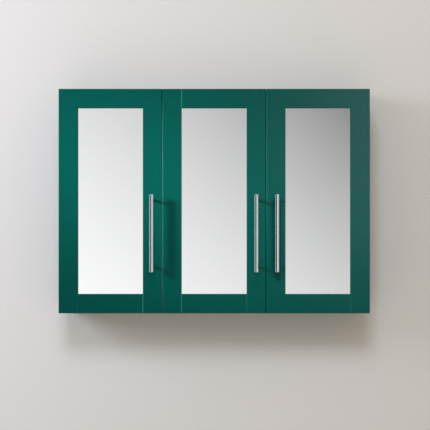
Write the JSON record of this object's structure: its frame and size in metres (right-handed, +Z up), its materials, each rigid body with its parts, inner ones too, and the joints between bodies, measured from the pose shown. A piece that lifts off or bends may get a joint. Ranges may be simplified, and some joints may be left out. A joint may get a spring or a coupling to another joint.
{
  "type": "mirror cabinet",
  "caption": "Wall-hung cabinet with framed mirror doors on concealed hinges, bar handles and adjustable glass shelves.",
  "frame": {"origin": "centre of the back face, on the wall plane, at the centre of the wall-fixing holes", "axes": "+X to the viewer's right, -Y out through the doors, +Z up"},
  "size_m": [0.9, 0.185, 0.65],
  "materials": {
    "green_lacquer": "satin lacquer on a solid frame",
    "green_board": "satin lacquer on board",
    "white_board": "white melamine",
    "dowel_wood": "plain beech",
    "mirror_glass": "silvered float glass",
    "shelf_glass": "clear with polished edges",
    "handle_steel": "satin",
    "hinge_steel": "nickel plated",
    "fixing_steel": "zinc plated",
    "bumper_rubber": "soft, translucent"
  },
  "bodies": {
    "carcass": {"side_panel_left": "green_board", "side_panel_right": "green_board", "top_panel": "green_board", "bottom_panel": "green_board", "partition": "white_board", "back_panel": "white_board", "hanging_rail_top": "white_board", "hanging_rail_bottom": "white_board", "carcass_dowels": "dowel_wood", "shelf_pins": "fixing_steel", "shelf_left_lower": "shelf_glass", "shelf_left_upper": "shelf_glass", "shelf_right_lower": "shelf_glass", "shelf_right_upper": "shelf_glass", "hinge_arms": "hinge_steel", "hinge_fixings": "fixing_steel"},
    "hinge_link_left": {"hinge_links_left": "hinge_steel"},
    "door_left": {"hinge_stile_left": "green_lacquer", "handle_stile_left": "green_lacquer", "rail_top_left": "green_lacquer", "rail_bottom_left": "green_lacquer", "mirror_left": "mirror_glass", "backing_board_left": "white_board", "mirror_clips_left": "fixing_steel", "handle_bar_left": "handle_steel", "handle_posts_left": "handle_steel", "door_screws_left": "fixing_steel", "hinge_cups_left": "hinge_steel", "cup_pins_left": "fixing_steel", "bumpers_left": "bumper_rubber"},
    "hinge_link_middle": {"hinge_links_middle": "hinge_steel"},
    "door_middle": {"hinge_stile_middle": "green_lacquer", "handle_stile_middle": "green_lacquer", "rail_top_middle": "green_lacquer", "rail_bottom_middle": "green_lacquer", "mirror_middle": "mirror_glass", "backing_board_middle": "white_board", "mirror_clips_middle": "fixing_steel", "handle_bar_middle": "handle_steel", "handle_posts_middle": "handle_steel", "door_screws_middle": "fixing_steel", "hinge_cups_middle": "hinge_steel", "cup_pins_middle": "fixing_steel", "bumpers_middle": "bumper_rubber"},
    "hinge_link_right": {"hinge_links_right": "hinge_steel"},
    "door_right": {"hinge_stile_right": "green_lacquer", "handle_stile_right": "green_lacquer", "rail_top_right": "green_lacquer", "rail_bottom_right": "green_lacquer", "mirror_right": "mirror_glass", "backing_board_right": "white_board", "mirror_clips_right": "fixing_steel", "handle_bar_right": "handle_steel", "handle_posts_right": "handle_steel", "door_screws_right": "fixing_steel", "hinge_cups_right": "hinge_steel", "cup_pins_right": "fixing_steel", "bumpers_right": "bumper_rubber"}
  },
  "joints": [
    {"name": "left_link_swing", "type": "hinge", "parent": "carcass", "child": "hinge_link_left", "pos_m": [-0.4205, -0.118, 0], "axis": [0, 0, -1], "range_deg": [-48, 0]},
    {"name": "left_door_swing", "type": "hinge", "parent": "hinge_link_left", "child": "door_left", "pos_m": [-0.4395, -0.1345, 0], "axis": [0, 0, -1], "range_deg": [0, 144]},
    {"name": "middle_link_swing", "type": "hinge", "parent": "carcass", "child": "hinge_link_middle", "pos_m": [-0.121, -0.118, 0], "axis": [0, 0, -1], "range_deg": [-48, 0]},
    {"name": "middle_door_swing", "type": "hinge", "parent": "hinge_link_middle", "child": "door_middle", "pos_m": [-0.14, -0.1345, 0], "axis": [0, 0, -1], "range_deg": [0, 144]},
    {"name": "right_link_swing", "type": "hinge", "parent": "carcass", "child": "hinge_link_right", "pos_m": [0.4205, -0.118, 0], "axis": [0, 0, 1], "range_deg": [-48, 0]},
    {"name": "right_door_swing", "type": "hinge", "parent": "hinge_link_right", "child": "door_right", "pos_m": [0.4395, -0.1345, 0], "axis": [0, 0, 1], "range_deg": [0, 144]}
  ],
  "couplings": [
    {"joint": "left_link_swing", "follows": "left_door_swing", "ratio": -0.33333},
    {"joint": "middle_link_swing", "follows": "middle_door_swing", "ratio": -0.33333},
    {"joint": "right_link_swing", "follows": "right_door_swing", "ratio": -0.33333}
  ]
}
